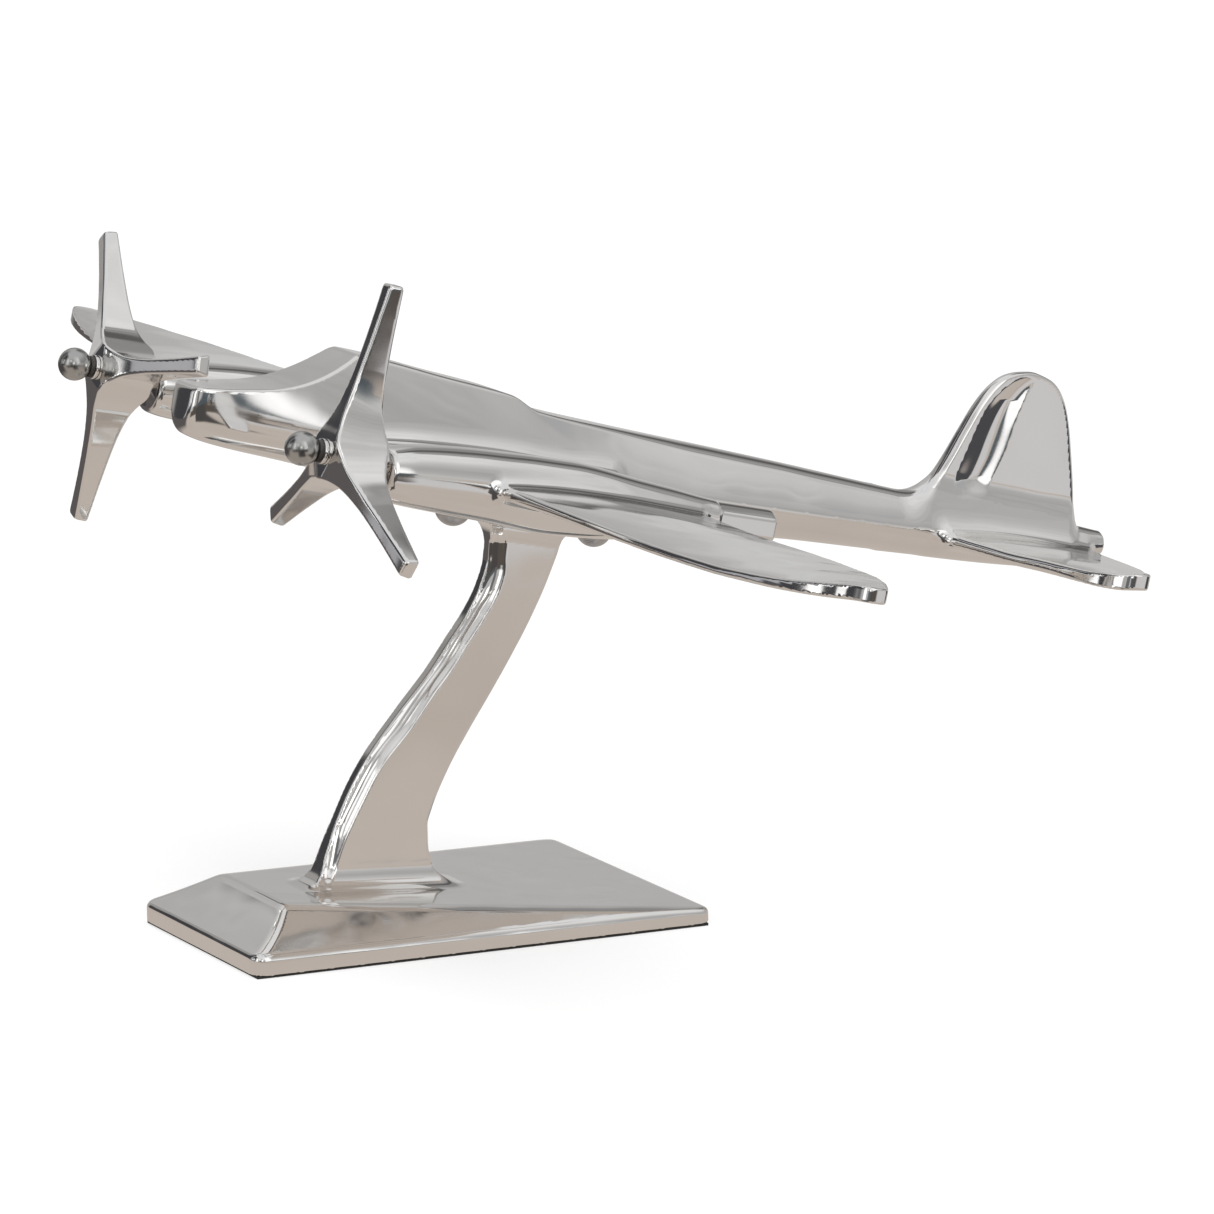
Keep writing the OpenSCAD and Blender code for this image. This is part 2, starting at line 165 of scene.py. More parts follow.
# Nacelle: top, bottom and half width
nac_top = spline([[9, 5], [25, 8.6], [60, 11.4], [102, 12.2], [137, 9.2], [154, 7.6], [180, 5], [215, 4.2]])
nac_bottom = spline([[9, -15.5], [20, -17.6], [42, -18.7], [64, -19.5], [92, -21], [108, -20.4],
                     [124, -19.2], [140, -17.4], [165, -13], [185, -10], [215, -8.8]])
nac_half = spline([[9, 12], [25, 14], [60, 15.2], [120, 15], [150, 12.5], [172, 9.5], [215, 8]])
NAC_FRONT = 12.0
NAC_REAR = 207.0
STUB_U = 178.0
STUB_FROM = 120
STUB_HALF = 7.8
STUB_BOTTOM = -8.6

# Wing: leading and trailing edge, against the distance from the middle
wing_le = spline([[0, 50], [90, 58], [131, 63], [200, 68], [300, 76], [350, 83.5], [375, 89.5], [386, 94],
                  [390.5, 97], [392, 100]])
wing_te = spline([[0, 180], [90, 172], [131, 166], [200, 159], [262, 156], [300, 149], [350, 128],
                  [375, 114.5], [386, 108], [390.5, 105], [392, 102]])
# Height of the wing's middle at the two edges: the leading edge droops along the outer panel
wing_mid_le = spline([[0, -6.5], [131, -4.5], [180, -5], [222, -6.1], [264, -6.7], [297, -6.5], [321, -5.5],
                      [338, -4.5], [353, -3.1], [372, -0.7], [385, 1.2], [392, 1.8]])
wing_mid_te = spline([[0, -5.5], [131, -3.6], [208, -2.2], [243, -1.5], [285, -0.8], [309, 0], [328, 0.8],
                      [360, 1.6], [392, 1.8]])
# Half thickness in the middle of the chord and at its edges
wing_crown = spline([[0, 7.5], [90, 6.5], [131, 5], [200, 3.9], [300, 3.4], [392, 3.3]])
wing_rim = spline([[0, 5], [131, 2.8], [200, 1.9], [300, 1.8], [340, 2.1], [372, 2.9], [392, 3.3]])

# Tailplane, as the wing
tail_le = spline([[0, 358], [40, 369], [80, 377], [110, 385], [122, 391], [126.5, 396], [128, 401]])
tail_te = spline([[0, 446], [40, 440], [60, 435.5], [80, 428.5], [100, 418], [110, 412.5], [122, 406.5],
                  [126.5, 404], [128, 402]])
tail_mid_le = spline([[0, -6.5], [50, -6.6], [80, -5.6], [104, -5.2], [122, -3.6], [128, -1.6]])
tail_mid_te = spline([[0, -4], [40, -3.8], [70, -3.2], [100, -2], [128, -1.3]])
tail_crown = spline([[0, 5.2], [30, 3.9], [100, 3.6], [128, 3.8]])
tail_rim = spline([[0, 4], [30, 2.7], [100, 2.8], [118, 3.5], [128, 3.8]])

# Fin: front and rear outline, half thickness, and the hollow's middle and half width, against height
FIN_TOP = 76.2
FIN_FOOT = -8
fin_front = spline([[FIN_FOOT, 344], [6, 351], [14, 355], [30, 362.5], [44, 368], [58, 374], [68, 381],
                    [74, 390], [FIN_TOP, 399]])
fin_rear = spline([[FIN_FOOT, 441], [10, 438.5], [42, 430], [60, 423.5], [68, 418.5], [73, 412.5],
                   [FIN_TOP, 403]])
fin_half_t = spline([[0, 4.9], [30, 4.4], [76, 3.3]])
hollow_mid = spline([[10, 375], [20, 377.5], [36, 382.3], [54, 386.5], [65, 391.5], [74, 399]])
hollow_half = spline([[10, 8], [18, 9.6], [36, 10.6], [54, 9.6], [65, 7.4], [74, 4]])


def fuselage_field(x, u, v):
    """Upright sides that lean in to a narrow flat top, over a rounded belly."""
    top = np.minimum(fus_crown(u), 40)
    bottom = fus_bottom(u)
    middle = fus_middle(u)
    reach = fus_spine(u)
    half = fus_half(u)
    belly = oval(x, v - middle, half, middle - bottom, 2.5)
    rise = np.clip((v - middle) / (reach - middle), 0, 1.3)
    lean = fus_lean(u)
    width = half - (half - fus_shoulder(u)) * rise ** lean
    tilt = lean * (half - fus_shoulder(u)) * rise ** (lean - 1) / (reach - middle)
    side = (np.abs(x) - width) / np.sqrt(1 + tilt * tilt)
    upper = smooth_max(side, v - top, fus_corner(u))
    body = np.where(v > middle, upper, belly)
    slope = nose_deck(u + 0.5) - nose_deck(u - 0.5)
    cut = (v - nose_deck(u)) / np.sqrt(1 + slope * slope)
    cut = np.where(u > DECK_END, -40.0, cut)
    body = smooth_max(body, cut, 1.4)
    body = smooth_max(body, NOSE_U - u + 0.004 * x * x, 3.4)
    return smooth_max(body, u - TAIL_U, 2.0)


def flat_wing(ax, u, v, outline, middles, thickness, tip):
    """A plate whose middle runs straight from its front edge to its rear edge."""
    front_line, rear_line = outline
    front = (front_line(ax) - u) / np.sqrt(1 + (front_line(ax + 1) - front_line(ax - 1)) ** 2 / 4)
    rear = (u - rear_line(ax)) / np.sqrt(1 + (rear_line(ax + 1) - rear_line(ax - 1)) ** 2 / 4)
    edge = smooth_max(smooth_max(front, rear, 2.0), ax - tip, 2.5)
    chord = np.clip((u - front_line(ax)) / np.maximum(rear_line(ax) - front_line(ax), 1), 0, 1)
    middle = middles[0](ax) + (middles[1](ax) - middles[0](ax)) * chord
    rim = thickness[1](ax)
    half = rim + (thickness[0](ax) - rim) * np.sin(np.pi * chord ** 0.8)
    nose_round = np.clip(1 - chord * 4, 0, 1) * np.clip((tip * 0.9 - ax) / 30, 0, 1)
    return plate(edge, v - middle, half, 0.9 + nose_round * np.minimum(rim * 0.9 - 0.9, 1.4))


def wing_field(x, u, v):
    return flat_wing(np.abs(x), u, v, (wing_le, wing_te), (wing_mid_le, wing_mid_te),
                     (wing_crown, wing_rim), WING_TIP)


def tail_field(x, u, v):
    return flat_wing(np.abs(x), u, v, (tail_le, tail_te), (tail_mid_le, tail_mid_te),
                     (tail_crown, tail_rim), TAIL_TIP)


def nacelle_field(x, u, v):
    """A rounded body with a square stub behind it, whose roof falls away from a ridge."""
    off = np.abs(x) - SHAFT_X
    top = nac_top(u)
    bottom = nac_bottom(u)
    middle = (top + bottom) / 2
    body = oval(off, v - middle, nac_half(u), (top - bottom) / 2, 2.4)
    body = smooth_max(body, NAC_FRONT - u, 2.4)
    body = smooth_max(body, u - STUB_U, 2.0)
    ridge = np.sqrt(off * off + 7.0) - 2.6
    roof = (v - 4.5 + 0.66 * ridge) / 1.2
    stub = smooth_max(smooth_max(np.abs(off) - STUB_HALF, roof, 1.1), STUB_BOTTOM - v, 1.6)
    length = np.abs(u - (NAC_REAR + STUB_FROM) / 2) - (NAC_REAR - STUB_FROM) / 2
    stub = smooth_max(stub, length, 1.6)
    return smooth_min(body, stub, 0.8)


def fin_field(x, u, v):
    """Thick and round in front, hollowed behind, flat at the rear."""
    front = (fin_front(v) - u) * 0.9
    rear = (u - fin_rear(v)) * 0.97
    edge = smooth_max(smooth_max(front, rear, 5.0), v - FIN_TOP, 5.0)
    edge = np.maximum(edge, FIN_FOOT - v)
    chord = np.clip((u - fin_front(v)) / np.maximum(fin_rear(v) - fin_front(v), 1), 0, 1)
    across = np.clip(1 - ((u - hollow_mid(v)) / hollow_half(v)) ** 2, 0, 1)
    depth = 2.1 * across ** 1.5 * np.clip((v - 13) / 9, 0, 1) * np.clip((73 - v) / 12, 0, 1)
    half = fin_half_t(v) * (0.84 + 0.16 * np.exp(-(chord / 0.3) ** 2) - 0.14 * chord ** 2) - depth
    return plate(edge, x, half, 2.5 + 0.7 * np.clip(1 - chord * 3.5, 0, 1))


# Softness of the fillets where the castings meet
NACELLE_FILLET = 7.0
WING_FILLET = 10.0
TAILPLANE_FILLET = 9.0
FIN_FILLET_REAR = 3.0
FIN_FILLET_MORE = 11.0
FIN_FILLET_END_U = 443


def airframe_field(x, u, v):
    """All the castings as one body; the fin's fillet tightens just ahead of its rear edge."""
    body = fuselage_field(x, u, v)
    wing = smooth_min(wing_field(x, u, v), nacelle_field(x, u, v), NACELLE_FILLET)
    body = smooth_min(body, wing, WING_FILLET)
    body = smooth_min(body, tail_field(x, u, v), TAILPLANE_FILLET)
    ahead = np.clip((FIN_FILLET_END_U - u) / 10, 0, 1)
    cove = FIN_FILLET_REAR + FIN_FILLET_MORE * ahead * ahead * (3 - 2 * ahead)
    return smooth_min(body, fin_field(x, u, v), cove)


# ---------------------------------------------------------------- meshing an implicit body

# Grid slices that are worked out at a time, which holds the memory down
SLICES = 12
CORNERS = np.array([[i, j, k] for i in (0, 1) for j in (0, 1) for k in (0, 1)])
EDGES = [(a, b) for a in range(8) for b in range(a + 1, 8)
         if np.abs(CORNERS[a] - CORNERS[b]).sum() == 1]


def gradient(field, p, step=0.04):
    """Central differences of the field at points p."""
    g = np.empty_like(p)
    for axis in range(3):
        d = np.zeros(3)
        d[axis] = step
        g[:, axis] = field(*(p + d).T) - field(*(p - d).T)
    return g / (2 * step)


def settle(field, p, rounds=4, limit=0.6):
    """Moves points onto the surface along the gradient."""
    for _ in range(rounds):
        value = field(*p.T)
        g = gradient(field, p)
        move = g * (value / np.maximum((g * g).sum(1), 1e-4))[:, None]
        size = np.linalg.norm(move, axis=1)
        move *= np.minimum(1, limit / np.maximum(size, 1e-9))[:, None]
        p = p - move
    return p


def sample(field, axes):
    """The field on a grid, a few slices at a time."""
    value = np.empty([len(a) for a in axes], np.float32)
    for i in range(0, len(axes[0]), SLICES):
        grid = np.meshgrid(axes[0][i:i + SLICES], axes[1], axes[2], indexing="ij")
        value[i:i + SLICES] = field(*grid)
    return value


def crossings(value, active):
    """The mean place, in each active cell, where the surface crosses the cell's edges."""
    corner = np.stack([value[tuple((active + c).T)] for c in CORNERS], 1)
    points = np.zeros((len(active), 3))
    hits = np.zeros(len(active))
    for a, b in EDGES:
        crosses = (corner[:, a] < 0) != (corner[:, b] < 0)
        t = corner[:, a] / np.where(crosses, corner[:, a] - corner[:, b], 1)
        at = CORNERS[a] + t[:, None] * (CORNERS[b] - CORNERS[a])
        points[crosses] += at[crosses]
        hits += crosses
    return points / hits[:, None]


def outward_quads(inside, index):
    """A quad round each grid edge that crosses the surface, joining the cells around it."""
    count = inside.shape
    quads = []
    for axis in range(3):
        b, c = (axis + 1) % 3, (axis + 2) % 3
        front = np.take(inside, np.arange(count[axis] - 1), axis)
        back = np.take(inside, np.arange(1, count[axis]), axis)
        for sign, where in ((1, front & ~back), (-1, back & ~front)):
            at = np.argwhere(where)
            whole = (at[:, b] > 0) & (at[:, c] > 0) & (at[:, b] < count[b] - 1) & (at[:, c] < count[c] - 1)
            at = at[whole]
            ring = []
            for db, dc in ((0, 0), (-1, 0), (-1, -1), (0, -1)):
                q = at.copy()
                q[:, b] += db
                q[:, c] += dc
                ring.append(index[tuple(q.T)])
            quad = np.stack(ring, 1)
            quads.append(quad if sign > 0 else quad[:, ::-1])
    return np.concatenate(quads)


def surface(field, low, high, cell):
    """Points and quads of the zero surface of field inside a box."""
    low = np.floor(np.array(low) / cell) * cell
    count = np.ceil((np.array(high) - low) / cell).astype(int) + 1
    value = sample(field, [low[i] + cell * np.arange(count[i]) for i in range(3)])
    inside = value < 0
    total = np.zeros(count - 1, np.int8)
    for c in CORNERS:
        total += inside[c[0]:c[0] + count[0] - 1, c[1]:c[1] + count[1] - 1, c[2]:c[2] + count[2] - 1]
    active = np.argwhere((total > 0) & (total < 8))
    index = np.full(count - 1, -1, np.int64)
    index[tuple(active.T)] = np.arange(len(active))
    points = low + cell * (active + crossings(value, active))
    return settle(field, points), outward_quads(inside, index)


def mesh_from(name, points, quads):
    """A Blender mesh of quads, still in the field's own axes and millimetres."""
    mesh = bpy.data.meshes.new(name)
    mesh.vertices.add(len(points))
    mesh.vertices.foreach_set("co", points.ravel())
    mesh.loops.add(quads.size)
    mesh.loops.foreach_set("vertex_index", quads.ravel())
    mesh.polygons.add(len(quads))
    mesh.polygons.foreach_set("loop_start", np.arange(len(quads)) * 4)
    mesh.update(calc_edges=True)
    mesh.validate()
    return mesh


def cut_and_cap(mesh, planes, reach=-1000.0):
    """Keeps the side of each plane that its normal points to, and closes the cuts.

    Only faces aft of reach are cut. They are listed in mesh order, so that each run gives the
    same points in the same order.
    """
    work = bmesh.new()
    work.from_mesh(mesh)
    for point, normal in planes:
        faces = [f for f in work.faces if all(w.co.y > reach for w in f.verts)]
        edges = dict.fromkeys(e for f in faces for e in f.edges)
        corners = dict.fromkeys(w for f in faces for w in f.verts)
        geometry = [*corners, *edges, *faces]
        bmesh.ops.bisect_plane(work, geom=geometry, plane_co=point, plane_no=normal, clear_inner=True)
        rim = [e for e in work.edges if e.is_boundary]
        cut = [e for e in rim if all(abs((w.co - Vector(point)).dot(Vector(normal))) < ON_PLANE
                                     for w in e.verts)]
        bmesh.ops.holes_fill(work, edges=cut, sides=0)
    bmesh.ops.triangulate(work, faces=[f for f in work.faces if len(f.verts) > 4])
    work.to_mesh(mesh)
    work.free()


def add_piece(name, mesh, material, slot, body, node):
    """Puts a mesh in the scene in the place of a CAD node."""
    mesh.materials.append(material)
    piece = bpy.data.objects.new(name, mesh)
    bpy.context.collection.objects.link(piece)
    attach(piece, body)
    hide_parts(node)


def finish_casting(name, mesh, field, place, body, node):
    """Smooth normals from the field itself, then into world metres."""
    points = np.empty(len(mesh.vertices) * 3)
    mesh.vertices.foreach_get("co", points)
    points = points.reshape(-1, 3)
    normals = gradient(field, points)
    normals /= np.linalg.norm(normals, axis=1)[:, None]
    rotation, origin = place
    world = (points @ rotation + origin) * MM
    mesh.vertices.foreach_set("co", world.ravel())
    mesh.shade_smooth()
    mesh.update()
    mesh.normals_split_custom_set_from_vertices((normals @ rotation).tolist())
    add_piece(name, mesh, CAST, "cast", body, node)


# How a casting's own axes lie in the world: rows of directions, and the origin in millimetres
AIRFRAME = (TO_AIRFRAME, ORIGIN)
WORLD = (np.eye(3), np.zeros(3))


# ---------------------------------------------------------------- materials

def new_material(name):
    material = bpy.data.materials.new(name)
    material.use_nodes = True
    tree = material.node_tree
    shader = tree.nodes["Principled BSDF"]
    return material, tree, shader


def noise(tree, scale, detail=3.0, stretch=(1, 1, 1), seed=0.0, space="Object"):
    """Noise stretched along the axes."""
    where = tree.nodes.new("ShaderNodeTexCoord")
    mapping = tree.nodes.new("ShaderNodeMapping")
    mapping.inputs["Scale"].default_value = stretch
    mapping.inputs["Location"].default_value = (seed, seed * 0.7, seed * 0.3)
    texture = tree.nodes.new("ShaderNodeTexNoise")
    texture.inputs["Scale"].default_value = scale
    texture.inputs["Detail"].default_value = detail
    tree.links.new(where.outputs[space], mapping.inputs["Vector"])
    tree.links.new(mapping.outputs["Vector"], texture.inputs["Vector"])
    return texture.outputs["Fac"]


def remap(tree, value, low, high, out_low, out_high):
    node = tree.nodes.new("ShaderNodeMapRange")
    node.inputs["From Min"].default_value = low
    node.inputs["From Max"].default_value = high
    node.inputs["To Min"].default_value = out_low
    node.inputs["To Max"].default_value = out_high
    tree.links.new(value, node.inputs["Value"])
    return node.outputs["Result"]


def blend_colours(tree, factor, dark, light):
    ramp = tree.nodes.new("ShaderNodeValToRGB")
    ramp.color_ramp.elements[0].color = (*dark, 1)
    ramp.color_ramp.elements[1].color = (*light, 1)
    tree.links.new(factor, ramp.inputs["Fac"])
    return ramp.outputs["Color"]


def bump(tree, shader, height, distance, under=None):
    node = tree.nodes.new("ShaderNodeBump")
    node.inputs["Distance"].default_value = distance
    node.inputs["Strength"].default_value = 1.0
    tree.links.new(height, node.inputs["Height"])
    if under is not None:
        tree.links.new(under, node.inputs["Normal"])
    tree.links.new(node.outputs["Normal"], shader.inputs["Normal"])
    return node.outputs["Normal"]


def metal(name, dark, light, rough_low, rough_high, scale, wave, grain):
    """Solid metal: cloudy colour and roughness, a slow wave and a fine grain in metres."""
    material, tree, shader = new_material(name)
    shader.inputs["Metallic"].default_value = 1.0
    cloud = noise(tree, scale)
    tree.links.new(blend_colours(tree, cloud, dark, light), shader.inputs["Base Color"])
    dull = noise(tree, scale * 2.3, seed=4.0)
    tree.links.new(remap(tree, dull, 0.35, 0.65, rough_low, rough_high), shader.inputs["Roughness"])
    slow = bump(tree, shader, noise(tree, 26, 1.0, seed=2.0), wave)
    bump(tree, shader, noise(tree, 900, 2.0, seed=7.0), grain, under=slow)
    return material


def cloth(name, dark, light):
    material, tree, shader = new_material(name)
    shader.inputs["Roughness"].default_value = 0.95
    fibres = noise(tree, 700, 4.0, stretch=(1, 1, 3))
    tree.links.new(blend_colours(tree, fibres, dark, light), shader.inputs["Base Color"])
    bump(tree, shader, noise(tree, 500, 4.0, seed=3.0), 0.0004)
    return material


CAST = metal("polished_cast", (0.80, 0.79, 0.78), (0.90, 0.89, 0.875), 0.045, 0.11, 14, 0.0008, 0.000002)
ZINC = metal("dull_zinc", (0.40, 0.40, 0.41), (0.62, 0.62, 0.63), 0.30, 0.45, 180, 0.0002, 0.00004)
STEEL = metal("bright_steel", (0.62, 0.61, 0.60), (0.74, 0.73, 0.72), 0.10, 0.17, 120, 0.0, 0.000004)
DARK_STEEL = metal("ball_steel", (0.42, 0.42, 0.41), (0.52, 0.52, 0.51), 0.18, 0.26, 120, 0.0, 0.000006)
BRASS = metal("brass_bush", (0.72, 0.52, 0.26), (0.83, 0.64, 0.34), 0.18, 0.28, 120, 0.0, 0.000006)
# A near-black cloth for the ring between the front washer and the ball nut: it draws the dark band between
# them.
NEAR_BLACK_RING = cloth("near_black_ring", (0.035, 0.032, 0.03), (0.07, 0.065, 0.06))
# A near-black cloth for the pad under the base: it draws the dark line along the base's lower edge.
DARK_UNDER_SHEET = cloth("felt", (0.018, 0.018, 0.019), (0.05, 0.05, 0.052))


# ---------------------------------------------------------------- castings of the airframe

WELD_X = 26.0
FIN_FROM_U = 335.0
FIN_WELD = [(0, 340, 14.0), (0, 0.045, 1)]
TAIL_WELD_X = 15.9
TAIL_WELD_U = 350.0
TAIL_WELD_SLOPE = 0.083


def cut_casting(name, skin, planes):
    mesh = mesh_from(name, *skin)
    cut_and_cap(mesh, planes)
    finish_casting(name + "_casting", mesh, airframe_field, AIRFRAME, ROOT, name)


def mirrored(skin):
    points, quads = skin
    return points * np.array([-1.0, 1.0, 1.0]), quads[:, ::-1]


def flipped(plane):
    return [plane[0], tuple(-n for n in plane[1])]


def airframe_castings():
    """The grids share one spacing, so that the two sides of a weld meet point for point."""
    whole = surface(airframe_field, (-33, -36, -29), (33, 462, 82), CASTING_CELL)
    wing = surface(airframe_field, (WELD_X - 5, 4, -29), (WING_TIP + 4, 212, 20), CASTING_CELL)
    tail = surface(airframe_field, (4, 338, -16), (TAIL_TIP + 4, 454, 18), CASTING_CELL)
    welds = []
    for side, sign in SIDES.items():
        wing_weld = [(sign * WELD_X, 0, 0), (sign, 0, 0)]
        tail_weld = [(sign * TAIL_WELD_X, TAIL_WELD_U, 0), (sign, TAIL_WELD_SLOPE, 0)]
        welds += [flipped(wing_weld), flipped(tail_weld)]
        cut_casting(side + "_wing", wing if sign > 0 else mirrored(wing), [wing_weld])
        cut_casting(side + "_tailplane", tail if sign > 0 else mirrored(tail), [tail_weld])
    cut_casting("tail_fin", whole, [[(0, FIN_FROM_U, 0), (0, 1, 0)], FIN_WELD])
    mesh = mesh_from("fuselage", *whole)
    cut_and_cap(mesh, welds)
    cut_and_cap(mesh, [flipped(FIN_WELD)], FIN_FROM_U)
    finish_casting("fuselage_casting", mesh, airframe_field, AIRFRAME, ROOT, "fuselage")


# ---------------------------------------------------------------- stand

FELT_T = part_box("felt_pad")[1][2] / MM
BASE_CREST = base_high[2]
CREST_Y = base_low[1] + 26.5
CREST_HALF = 33.0
FRONT_HALF = 59.5
REAR_HALF = base_high[0]
FRONT_EDGE = 10.0
REAR_EDGE = 8.1
TOP_REAR_Y = base_high[1] - 4.0
TOP_SLOPE = (BASE_CREST - REAR_EDGE - 0.3) / (TOP_REAR_Y - CREST_Y)
FOOT_Y = -20.0
COUNTERBORE_TOP = 8.5
ARM_HALF = 7.5
SEAT_V = -23.5
FLANGE_T = 5.5
FLANGE_HALF_LENGTH = 47.5
FLANGE_HALF = 12.5
FLANGE_FILLET = 9.0
FOOT_FILLET = 11.0
GROOVE_R = 8.0
COUNTERBORE_R = 9.5
BOLTS_U = {"belly_bolt_front": 114.5, "belly_bolt_rear": 187.5}

# The arm's front and rear outline, y against height
arm_front = spline([[10, -56], [20, -53], [30, -50], [42, -45.5], [54, -40], [66, -33.8], [79, -25.2],
                    [95, -11.5], [115, 7], [128, 17.2], [139, 25.8], [151, 32.8], [163, 36.8], [178, 38],
                    [215, 38.5]])
arm_rear = spline([[5, 15], [19, 8.6], [27, 4.6], [36, 2.6], [45, 2.5], [53, 5], [70.5, 13.8], [86.5, 24.2],
                   [101.5, 34.8], [116.5, 45], [133, 55.4], [152, 65.5], [168, 72], [195, 76.5], [215, 78]])


def plane_through(a, b, c):
    """Outward normal and distance of the plane through three points of the convex base."""
    normal = np.cross(np.subtract(b, a), np.subtract(c, a))
    normal = normal / np.linalg.norm(normal)
    inside = np.array([0.0, 0.0, 5.0])
    if normal @ (inside - a) > 0:
        normal = -normal
    return normal, normal @ np.array(a, float)


def base_field(x, y, z):
    """A flared plate with a sloping top, side bevels, a hollow front bevel and a counterbore."""
    ax = np.abs(x)
    flare = (REAR_HALF - FRONT_HALF) / (base_high[1] - base_low[1])
    side = (ax - FRONT_HALF - flare * (y - base_low[1])) / math.hypot(1, flare)
    top = (z - BASE_CREST + TOP_SLOPE * (y - CREST_Y)) / math.hypot(1, TOP_SLOPE)
    bevel, reach = plane_through((FRONT_HALF, base_low[1], FRONT_EDGE), (REAR_HALF, base_high[1], REAR_EDGE),
                                 (CREST_HALF, CREST_Y, BASE_CREST))
    side_bevel = bevel[0] * ax + bevel[1] * y + bevel[2] * z - reach
    run = np.clip((y - base_low[1]) / (CREST_Y - base_low[1]), -0.3, 1.4)
    hollow = FRONT_EDGE + (BASE_CREST - FRONT_EDGE) * (0.62 * run + 0.38 * run * run)
    front_bevel = (z - hollow) * 0.85
    ends = smooth_max(base_low[1] - y, y - base_high[1], 2.0)
    body = smooth_max(smooth_max(side, ends, 7.0), FELT_T - z, 1.0)
    cover = smooth_max(smooth_max(top, side_bevel, 2.2), front_bevel, 2.2)
    body = smooth_max(body, cover, 2.4)
    hole = np.hypot(x, y - FOOT_Y) - COUNTERBORE_R
    return smooth_max(body, -smooth_max(hole, z - COUNTERBORE_TOP, 0.6), 0.8)


def in_airframe(y, z):
    """A place in the world's y and z as the airframe's u and v."""
    u = (y - ORIGIN[1]) * AXIS_U[1] + (z - ORIGIN[2]) * AXIS_U[2]
    v = (y - ORIGIN[1]) * AXIS_V[1] + (z - ORIGIN[2]) * AXIS_V[2]
    return u, v


def arm_field(x, y, z):
    """A slab bent in its outline, hand-ground to a wavy edge in front, with a flange on top."""
    lean_front = (arm_front(z + 1) - arm_front(z - 1)) / 2
    lean_rear = (arm_rear(z + 1) - arm_rear(z - 1)) / 2
    front = (arm_front(z) - y) / np.sqrt(1 + lean_front ** 2)
    rear = (y - arm_rear(z)) / np.sqrt(1 + lean_rear ** 2)
    blade = plate(smooth_max(front, rear, 1.0), x, ARM_HALF, 1.7)
    wander = 0.5 * np.sin(z / 11.0) + 0.35 * np.sin(z / 4.7 + 1.0)
    fade = 5.0 * np.clip((z - 170) / 12, 0, 1) + 3.0 * np.clip((50 - z) / 25, 0, 1)
    groove = np.hypot(np.abs(x) - ARM_HALF - 3.4 - fade, front - 1.2 + wander)
    blade = smooth_max(blade, GROOVE_R - groove, 1.0)
    u, v = in_airframe(y, z)
    middle = sum(BOLTS_U.values()) / 2
    ends = np.abs(u - middle) - FLANGE_HALF_LENGTH
    rim = smooth_max(ends, np.abs(x) - FLANGE_HALF, 8.0)
    flange = plate(rim, v - (SEAT_V - FLANGE_T / 2), FLANGE_T / 2, 1.4)
    arm = smooth_min(blade, flange, FLANGE_FILLET)
    arm = np.maximum(arm, 5.0 - z)
    return smooth_max(arm, v - SEAT_V, 0.8)


def stand_field(x, y, z):
    return smooth_min(base_field(x, y, z), arm_field(x, y, z), FOOT_FILLET)


def stand_castings():
    """Base and arm are one body, cut apart on the plane of the base's top."""
    weld = (0, CREST_Y, BASE_CREST + 0.5)
    below = [weld, (0, -TOP_SLOPE, -1)]
    above = [weld, (0, TOP_SLOPE, 1)]
    pad = surface(stand_field, (-81, base_low[1] - 3, -2), (81, base_high[1] + 3, 40), CASTING_CELL)
    mesh = mesh_from("base", *pad)
    cut_and_cap(mesh, [below])
    finish_casting("base_casting_body", mesh, stand_field, WORLD, ROOT, "base_casting")
    arm = surface(stand_field, (-20, -70, 8), (20, 116, 206), CASTING_CELL)
    mesh = mesh_from("arm", *arm)
    cut_and_cap(mesh, [above])
    finish_casting("stand_arm_body", mesh, stand_field, WORLD, ROOT, "stand_arm")


# ---------------------------------------------------------------- propellers

# Rest angle of the first arm in degrees, then sizes; places are u from the hub's centre
BLADE_TURN = {"port": 89.5, "starboard": 11.3}
TIP_R = 75.0
HUB_FRONT = -16.0
HUB_REAR = 9.0
HUB_BORE_R = 4.55
SHAFT_R = 2.5
BORE_R = 2.55
BUSH_BORE_R = 2.54
SPACER_FRONT = 9.1
WASHER_FRONT = -18
FIBRE_FRONT = -19.8
BALL_U = -26.5
BALL_R = 7.5
BELLY_HEAD_R = 8.2
BELLY_HEAD_HEIGHT = 6.4
BELLY_SHANK_R = 3
BELLY_SHANK_LENGTH = 19.5
DOME_STEPS = 20
BALL_STEPS = 28
LATHE_STEPS = 72
# Front face, rear face and half width of one arm, against the distance from the shaft
blade_front = spline([[0, -16], [6, -16], [12, -14.4], [26, -10.6], [43, -7.1], [59, -4.5], [75, -2.3],
                      [90, -1]])
blade_rear = spline([[0, 9], [7, 9], [13, 7.4], [20, 5.8], [32, 4.7], [50, 4.3], [75, 4.2], [90, 4.2]])
blade_half = spline([[0, 13.5], [5, 11.2], [9, 8.9], [14, 6.5], [20, 4.7], [28, 3.8], [38, 3.3],
                     [55, 3.4], [75, 3.8], [90, 3.8]])


def propeller_field(turn):
    """A three-armed star: deep and flared at the hub, thin at the tips, with a little draft."""
    def field(x, u, v):
        radius = np.hypot(x, v)
        angle = np.degrees(np.arctan2(v, x)) - turn
        folded = np.radians((angle + 60) % 120 - 60)
        along = radius * np.cos(folded)
        across = np.abs(radius * np.sin(folded))
        front = blade_front(along)
        rear = blade_rear(along)
        draft = 1.3 * np.clip((u - front) / (rear - front), 0, 1)
        lean = blade_half(along + 0.5) - blade_half(along - 0.5)
        wall = (across - blade_half(along) - draft) / np.sqrt(1 + lean * lean)
        tip = along - TIP_R
        outline = smooth_max(wall, tip, 1.6)
        faces = smooth_max(front - u, u - rear, 1.0)
        body = smooth_max(outline, faces * 0.97, 1.5)
        return smooth_max(body, HUB_BORE_R - radius, 0.8)
    return field


